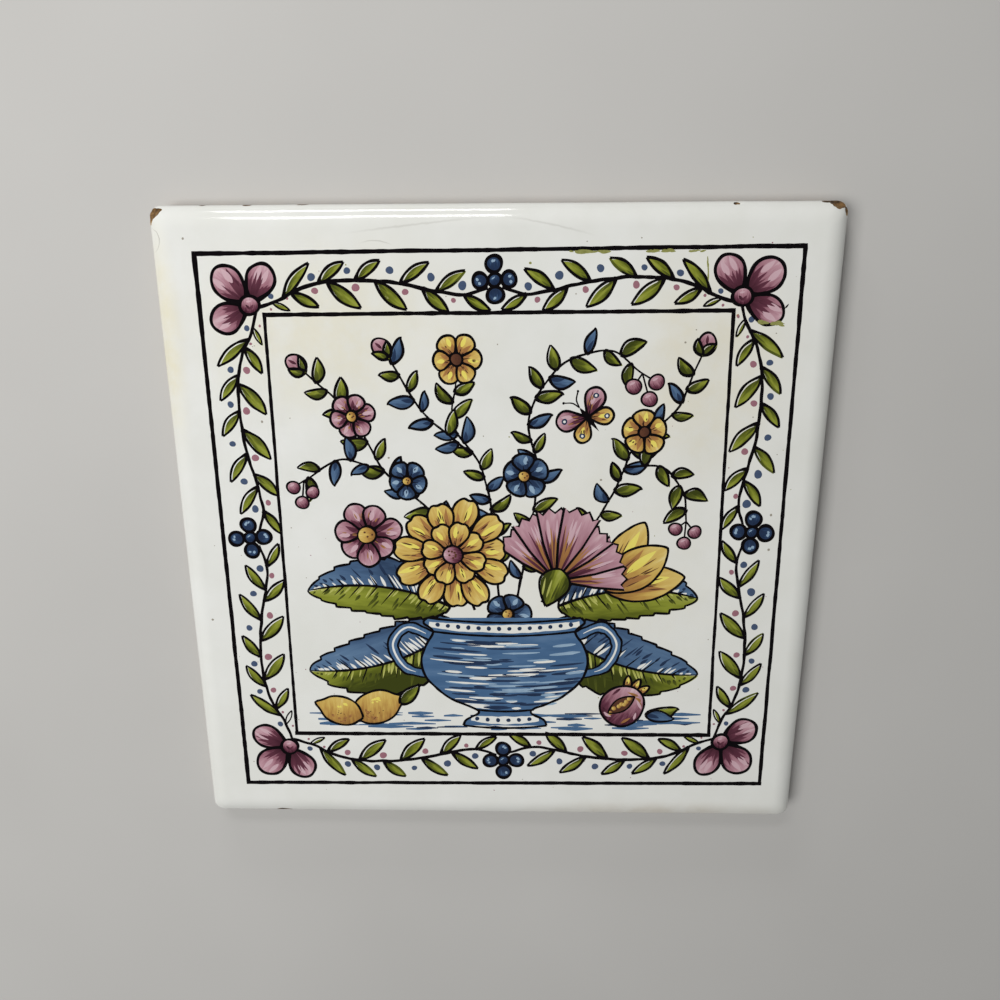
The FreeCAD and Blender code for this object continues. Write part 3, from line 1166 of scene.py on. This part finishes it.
def glaze_surface(nodes, gloss):
    """Fired glaze: smooth and glossy, with slow waves and a few finer ones."""
    place = nodes.place()
    slow = nodes.noise(place, 90.0, 1.0)
    fine = nodes.noise(place, 900.0, 2.0)
    height = nodes.math("ADD", slow, nodes.math("MULTIPLY", fine, 0.03))
    dull = gloss + GLOSS_RANGE
    rough = nodes.mapped(nodes.noise(place, 160.0, 3.0), 0.0, 1.0, gloss, dull, "LINEAR")
    nodes.dress({"Normal": nodes.bump(height, GLAZE_RELIEF), "Roughness": rough, "IOR": GLAZE_IOR})
    return place


def pigment(name, stops, flow, streak, rim, shine=0.35):
    """Painted colour under the gloss: tones follow the brush from its start, in streaks that run its way."""
    nodes = Nodes(name)
    glaze_surface(nodes, PAINT_GLOSS)
    brush = nodes.add("ShaderNodeAttribute", attribute_name="brush").outputs["Vector"]
    parts = nodes.add("ShaderNodeSeparateXYZ", {"Vector": brush})
    streaks = nodes.noise(nodes.stretched(brush, (3.0, 16.0, 1.0)), 1.0, 3.0, 0.6)
    tone = nodes.math("MULTIPLY", parts.outputs["X"], flow)
    tone = nodes.math("ADD", tone, (1 - flow) * 0.5)
    off_axis = nodes.math("MULTIPLY", nodes.math("ABSOLUTE", parts.outputs["Y"]), rim)
    swing = nodes.math("MULTIPLY", nodes.math("SUBTRACT", streaks, 0.5), streak)
    tone = nodes.math("ADD", nodes.math("SUBTRACT", tone, off_axis), swing, clamp=True)
    return nodes.dress({"Base Color": nodes.ramp(tone, stops), "Specular IOR Level": shine})


# Stains of the white, and painted shade along the right half of the bottom edge: middle and reach in
# millimetres, colour and strength
STAINS_AND_SHADE = [
    ((-73.0, 46.0, 6.5), (5.4, 32.0, 8.0), (222, 208, 150), 0.42),
    ((-36.0, 48.0, 8.0), (44.0, 26.0, 8.0), (226, 214, 168), 0.34),
    ((46.0, 40.0, 8.0), (26.0, 34.0, 8.0), (222, 208, 164), 0.36),
    ((20.0, -10.0, 8.0), (60.0, 50.0, 8.0), (226, 218, 190), 0.22),
    # Painted shade: brownish darkening along the right half of the bottom edge, where it lies in shadow
    ((40.0, -74.0, 6.0), (46.0, 6.0, 8.0), (176, 150, 112), 0.34),
]

# A fine crack by the top left chip, and faint grey lines along the top margin: arc of a circle in plan,
# its width and strength, and the oval that keeps part of it; their colour and how far they waver
ARC_COLOR = (132, 126, 114)
ARC_SHAKE = 0.5
GREY_ARCS = [
    ((-75.0, 67.7), 2.65, 0.26, 0.75, (-73.1, 67.8, 7.0), (2.6, 3.4, 5.0)),
    # Faint grey lines along the top margin
    ((111.5, -1138.6), 1215.9, 0.7, 0.2, (-17.0, 70.3, 8.0), (19.0, 5.0, 5.0)),
    ((-19.4, -78.7), 152.3, 0.7, 0.2, (12.0, 70.2, 8.0), (13.0, 5.0, 5.0)),
    ((-26.0, 59.0), 8.3, 0.4, 0.3, (-25.0, 67.2, 8.0), (5.0, 1.6, 5.0)),
]


def white_glaze():
    """White tin glaze, slightly uneven, yellowed in places and finely cracked at its edge, with painted
    shade along the right half of the bottom edge.
    """
    nodes = Nodes("white_glaze")
    place = glaze_surface(nodes, WHITE_GLOSS)
    mottle = nodes.noise(place, 60.0, 4.0, 0.6)
    color = nodes.ramp(mottle, [(0.3, (226, 226, 219)), (0.7, (233, 233, 228))])
    patchy = nodes.mapped(nodes.noise(place, 140.0, 5.0, 0.65), 0.3, 0.7, 0.35, 1.0)
    # Blends in the yellow stains and the painted shade of the bottom edge
    for center, radii, tint, strength in STAINS_AND_SHADE:
        share = nodes.math("MULTIPLY", patchy, strength)
        share = nodes.math("MULTIPLY", nodes.spot(place, center, radii), share)
        color = nodes.blend(share, color, srgb(*tint))
    shift = nodes.vector("SUBTRACT", nodes.noise(place, 700.0, output="Color"), (0.5, 0.5, 0.5))
    shaken = nodes.vector("MULTIPLY_ADD", shift, (ARC_SHAKE * MM, ARC_SHAKE * MM, 0.0), place)
    for center, radius, width, strength, middle, reach in GREY_ARCS:
        line = nodes.arc(shaken, center, radius, width)
        line = nodes.math("MULTIPLY", line, nodes.spot(place, middle, reach))
        color = nodes.blend(nodes.math("MULTIPLY", line, strength), color, srgb(*ARC_COLOR))
    return nodes.dress({"Base Color": color})


def clay(nodes, place, tone, stops, grain, relief, roughness):
    """Dull surface of bare or broken clay."""
    normal = nodes.bump(nodes.noise(place, grain, 4.0, 0.7), relief)
    return nodes.dress({"Base Color": nodes.ramp(tone, stops), "Normal": normal, "Roughness": roughness})


# Where the clay of the chips is dirtiest and cleanest, measured from the middle of the tile
DIRTY_FROM = 75.0
CLEAN_FROM = 70.6


def fracture():
    """Broken clay of the chips, dirtier towards the tile's rim."""
    nodes = Nodes("fracture")
    place = nodes.place()
    depth = nodes.math("ABSOLUTE", nodes.add("ShaderNodeSeparateXYZ", {"Vector": place}).outputs["Y"])
    clean = nodes.mapped(depth, DIRTY_FROM * MM, CLEAN_FROM * MM, -0.2, 0.16, "LINEAR")
    patches = nodes.math("ADD", nodes.noise(place, 700.0, 5.0, 0.65), clean)
    stops = [(0.26, (70, 54, 38)), (0.5, (132, 100, 60)), (0.74, (190, 164, 126))]
    return clay(nodes, place, patches, stops, 3000.0, 0.0002, 0.85)


def biscuit():
    """Bare clay of the sides and the back."""
    nodes = Nodes("biscuit")
    place = nodes.place()
    mottle = nodes.noise(place, 350.0, 6.0, 0.65)
    stops = [(0.25, (150, 112, 72)), (0.5, (178, 140, 98)), (0.75, (200, 166, 126))]
    return clay(nodes, place, mottle, stops, 2500.0, 0.00015, 0.9)


# Each painted colour: tones from the brush's start to its end, flow, streakiness, darkening off the axis and,
# where it isn't the usual one, shine
PIGMENTS = {
    "black_line": ([(0, (6, 4, 6)), (0.7, (12, 8, 11)), (1, (32, 25, 27))], 0.0, 0.9, 0.0, 0.15),
    "leaf_green": (
        [(0, (58, 64, 16)), (0.25, (98, 105, 30)), (0.52, (137, 144, 50)), (1, (168, 171, 90))],
        0.4, 0.8, 2.6,
    ),
    "leaf_shade": ([(0, (44, 50, 18)), (1, (92, 98, 30))], 0.8, 0.5, 0.0),
    "leaf_light": ([(0, (152, 156, 66)), (1, (196, 196, 116))], 0.6, 0.6, 0.0),
    "leaf_blue": (
        [(0, (38, 54, 80)), (0.4, (72, 98, 130)), (0.75, (94, 122, 152)), (1, (146, 168, 188))],
        0.45, 0.9, 1.2,
    ),
    "wash_blue": ([(0, (54, 82, 116)), (0.5, (72, 104, 140)), (1, (108, 136, 166))], 0.0, 1.0, 0.0),
    "navy": ([(0, (20, 30, 52)), (1, (46, 66, 98))], 0.3, 0.7, 0.0),
    "pale_blue": ([(0, (112, 142, 170)), (1, (172, 194, 210))], 0.2, 0.8, 0.0),
    "flower_blue": ([(0, (10, 16, 32)), (0.5, (32, 50, 80)), (1, (76, 106, 142))], 0.8, 0.9, 0.0),
    "dot_blue": ([(0, (52, 66, 92)), (1, (82, 98, 126))], 0.2, 0.8, 0.0),
    "dot_mauve": ([(0, (134, 88, 100)), (1, (168, 120, 130))], 0.2, 0.8, 0.0),
    "petal_pink": (
        [
            (0, (58, 20, 34)), (0.22, (102, 54, 70)), (0.46, (160, 112, 124)),
            (0.76, (188, 146, 156)), (1, (214, 186, 190)),
        ],
        0.85, 0.7, 0.5,
    ),
    "pale_pink": ([(0, (190, 150, 160)), (1, (212, 184, 190))], 0.3, 0.6, 0.0),
    "plum": ([(0, (46, 14, 26)), (1, (108, 58, 74))], 0.8, 0.5, 0.0),
    "petal_yellow": (
        [
            (0, (132, 90, 48)), (0.3, (178, 136, 70)), (0.55, (202, 168, 88)),
            (0.82, (216, 188, 108)), (1, (228, 210, 148)),
        ],
        0.8, 0.9, 0.4,
    ),
    "sun_yellow": ([(0, (224, 206, 82)), (1, (238, 226, 124))], 0.3, 0.6, 0.0),
    "ochre": ([(0, (126, 82, 50)), (1, (182, 132, 76))], 0.6, 0.6, 0.0),
    "umber": ([(0, (62, 36, 28)), (1, (108, 68, 48))], 0.6, 0.6, 0.0),
    "smear": ([(0, (98, 100, 38)), (1, (172, 172, 108))], 0.0, 1.6, 0.0),
    "grime": ([(0, (120, 112, 98)), (1, (186, 180, 168))], 0.0, 1.6, 0.0),
}


def all_materials():
    made = {"white_glaze": white_glaze(), "biscuit": biscuit(), "fracture": fracture()}
    for name, tones in PIGMENTS.items():
        made[name] = pigment(name, *tones)
    return made


# Assembly of the tile, and the shares of the bake map that its face, back and each side take
FACE_SHARE = 0.8
BACK_SHARE = 0.19
STRIP_SHARE = 0.048
STRIP_GAP = 0.005
SIDE_SLOPE = 0.3
MERGE_DISTANCE = 2e-7
SHARP_ANGLE = math.radians(35)


def grooves():
    """The grooves of the back, as prisms."""
    build = bmesh.new()
    mouth, floor, end = GROOVE_MOUTH / 2 + CUTTER_FLARE, GROOVE_FLOOR / 2, HALF_SIDE + CUTTER_OVERRUN
    section = [(-mouth, -CUTTER_DROP), (mouth, -CUTTER_DROP), (floor, GROOVE_DEPTH), (-floor, GROOVE_DEPTH)]
    for k in range(GROOVE_PAIRS):
        for side in (-1, 1):
            x = side * (k + 0.5) * GROOVE_PITCH
            near, far = (
                [build.verts.new(Vector((x + off, y, z)) * MM) for off, z in section] for y in (-end, end)
            )
            build.faces.new(near)
            build.faces.new(far[::-1])
            for i in range(4):
                j = (i + 1) % 4
                build.faces.new((near[j], near[i], far[i], far[j]))
    return build


def chips():
    """Rough balls that scoop the chips and nicks out of the edges."""
    build = bmesh.new()
    for place, lean, radius, bite, stretch in CHIPS:
        middle = Vector(place) + Vector(lean).normalized() * (radius - bite)
        reach = math.sqrt(2 * radius * bite)
        detail = 6 if radius > 3 else 5
        ball = bmesh.ops.create_icosphere(build, subdivisions=detail, radius=radius)["verts"]
        for vert in ball:
            lump = noise.noise(vert.co / reach + middle)
            grain = noise.noise(vert.co * CHIP_FINENESS / reach + middle)
            vert.co *= 1 + bite * (CHIP_LUMP * lump + CHIP_GRAIN * grain) / radius
            vert.co.x *= stretch
            vert.co = (vert.co + middle) * MM
    return build


def link(name, data):
    """New object in the scene."""
    made = bpy.data.objects.new(name, data)
    bpy.context.scene.collection.objects.link(made)
    return made


def cut_away(target, build, slot, materials):
    """Takes a closed bmesh out of the target, with one material on the new faces, and frees it."""
    bmesh.ops.recalc_face_normals(build, faces=build.faces)
    for face in build.faces:
        face.material_index = slot
    mesh = bpy.data.meshes.new("cutter")
    build.to_mesh(mesh)
    build.free()
    for material in materials:
        mesh.materials.append(material)
    cutter = link("cutter", mesh)
    modifier = target.modifiers.new("cut", "BOOLEAN")
    modifier.object = cutter
    modifier.operation = "DIFFERENCE"
    modifier.solver = "EXACT"
    modifier.use_self = True
    modifier.material_mode = "TRANSFER"
    graph = bpy.context.evaluated_depsgraph_get()
    rest = bpy.data.meshes.new_from_object(target.evaluated_get(graph))
    target.modifiers.clear()
    target.data = rest
    bpy.data.objects.remove(cutter)


def bake_map(mesh):
    """Flat layout for baking: the face from above, the back beside it, the four sides in strips over it."""
    scale = FACE_SHARE / (2 * HALF_SIDE)
    back_scale = BACK_SHARE / (2 * HALF_SIDE)
    layer = mesh.uv_layers.new(name="OFBake")
    for face in mesh.polygons:
        across, up = (0, 1) if abs(face.normal.y) > abs(face.normal.x) else (1, 0)
        strip = 2 * across + (face.normal[up] > 0)
        for loop in face.loop_indices:
            x, y, z = mesh.vertices[mesh.loops[loop].vertex_index].co / MM
            if face.normal.z > SIDE_SLOPE:
                place = ((x + HALF_SIDE) * scale, (y + HALF_SIDE) * scale)
            elif face.normal.z < -SIDE_SLOPE:
                place = (1 - (x + HALF_SIDE) * back_scale, (y + HALF_SIDE) * back_scale)
            else:
                low = FACE_SHARE + STRIP_GAP + strip * STRIP_SHARE
                place = (((x, y)[across] + HALF_SIDE) * scale, low + z * scale)
            layer.data[loop].uv = place


def make_tile():
    """The whole tile: cut body, painted patch for its flat top, bake map and place in the frame."""
    made = all_materials()
    materials = list(made.values())
    slot_of = {name: k for k, name in enumerate(made)}
    tile = link("painted_tile", body_mesh(materials, slot_of))
    cut_away(tile, grooves(), slot_of["biscuit"], materials)
    cut_away(tile, chips(), slot_of["fracture"], materials)
    build = bmesh.new()
    build.from_mesh(tile.data)
    lids = [f for f in build.faces if f.material_index == slot_of["black_line"]]
    bmesh.ops.delete(build, geom=lids, context="FACES_ONLY")
    build.from_mesh(painted_patch(materials, slot_of))
    bmesh.ops.remove_doubles(build, verts=build.verts, dist=MERGE_DISTANCE)
    build.to_mesh(tile.data)
    tile.data.shade_smooth()
    tile.data.set_sharp_from_angle(angle=SHARP_ANGLE)
    bake_map(tile.data)
    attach(tile, "root")
    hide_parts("tile")


make_tile()


# Stage: floor, lights and camera

CAMERA_PLACE = Vector((5.05, 55.75, 182.98)) * MM
CAMERA_AIM = Vector((0.82, 10.0, 8.0)) * MM
CAMERA_ROLL = math.radians(-0.28)
CAMERA_LENS = 28.14
FLOOR_HALF = 3.0
WORLD_COLOR = (0.8, 0.82, 0.84, 1)
WORLD_STRENGTH = 0.18


def make_floor():
    nodes = Nodes("floor")
    place = nodes.place()
    color = nodes.ramp(nodes.noise(place, 9.0, 3.0), [(0.3, (190, 188, 184)), (0.7, (196, 194, 190))])
    mesh = bpy.data.meshes.new("floor")
    corners = [(x * FLOOR_HALF, y * FLOOR_HALF, 0) for x, y in ((-1, -1), (1, -1), (1, 1), (-1, 1))]
    mesh.from_pydata(corners, [], [(0, 1, 2, 3)])
    mesh.materials.append(nodes.dress({"Base Color": color, "Roughness": 0.8}))
    link("floor", mesh)


def area_light(name, place, aim, size, power):
    lamp = bpy.data.lights.new(name, "AREA")
    lamp.shape = "RECTANGLE"
    lamp.size, lamp.size_y = size
    lamp.energy = power
    lit = link(name, lamp)
    lit.location = place
    lit.rotation_euler = (Vector(aim) - Vector(place)).to_track_quat("-Z", "Y").to_euler()
    return lit


def make_lights():
    area_light("key_low", (-0.095, 0.329, 0.314), (0, 0.03, 0), (0.2, 0.06), 0.35)
    area_light("key_high", (-0.09, 0.411, 0.134), (0, 0.03, 0), (0.19, 0.06), 0.35)
    fill = area_light("left_fill", (-0.345, 0.0, 0.63), (0, 0, 0), (0.35, 0.35), 3.6)
    fill.visible_glossy = False
    world = bpy.data.worlds.new("studio")
    world.use_nodes = True
    background = world.node_tree.nodes["Background"].inputs
    background["Color"].default_value = WORLD_COLOR
    background["Strength"].default_value = WORLD_STRENGTH
    bpy.context.scene.world = world


def make_camera():
    ahead = (CAMERA_AIM - CAMERA_PLACE).normalized()
    right = ahead.cross(Vector((0, 1, 0))).normalized()
    up = right.cross(ahead)
    turn = Matrix((right, up, -ahead)).transposed() @ Matrix.Rotation(CAMERA_ROLL, 3, "Z")
    camera = bpy.data.cameras.new("camera")
    camera.lens = CAMERA_LENS
    camera.sensor_width = 36
    camera.clip_start = 0.01
    seen = link("camera", camera)
    seen.matrix_world = Matrix.Translation(CAMERA_PLACE) @ turn.to_4x4()
    bpy.context.scene.camera = seen


make_floor()
make_lights()
make_camera()
bpy.context.scene.view_settings.view_transform = "Standard"
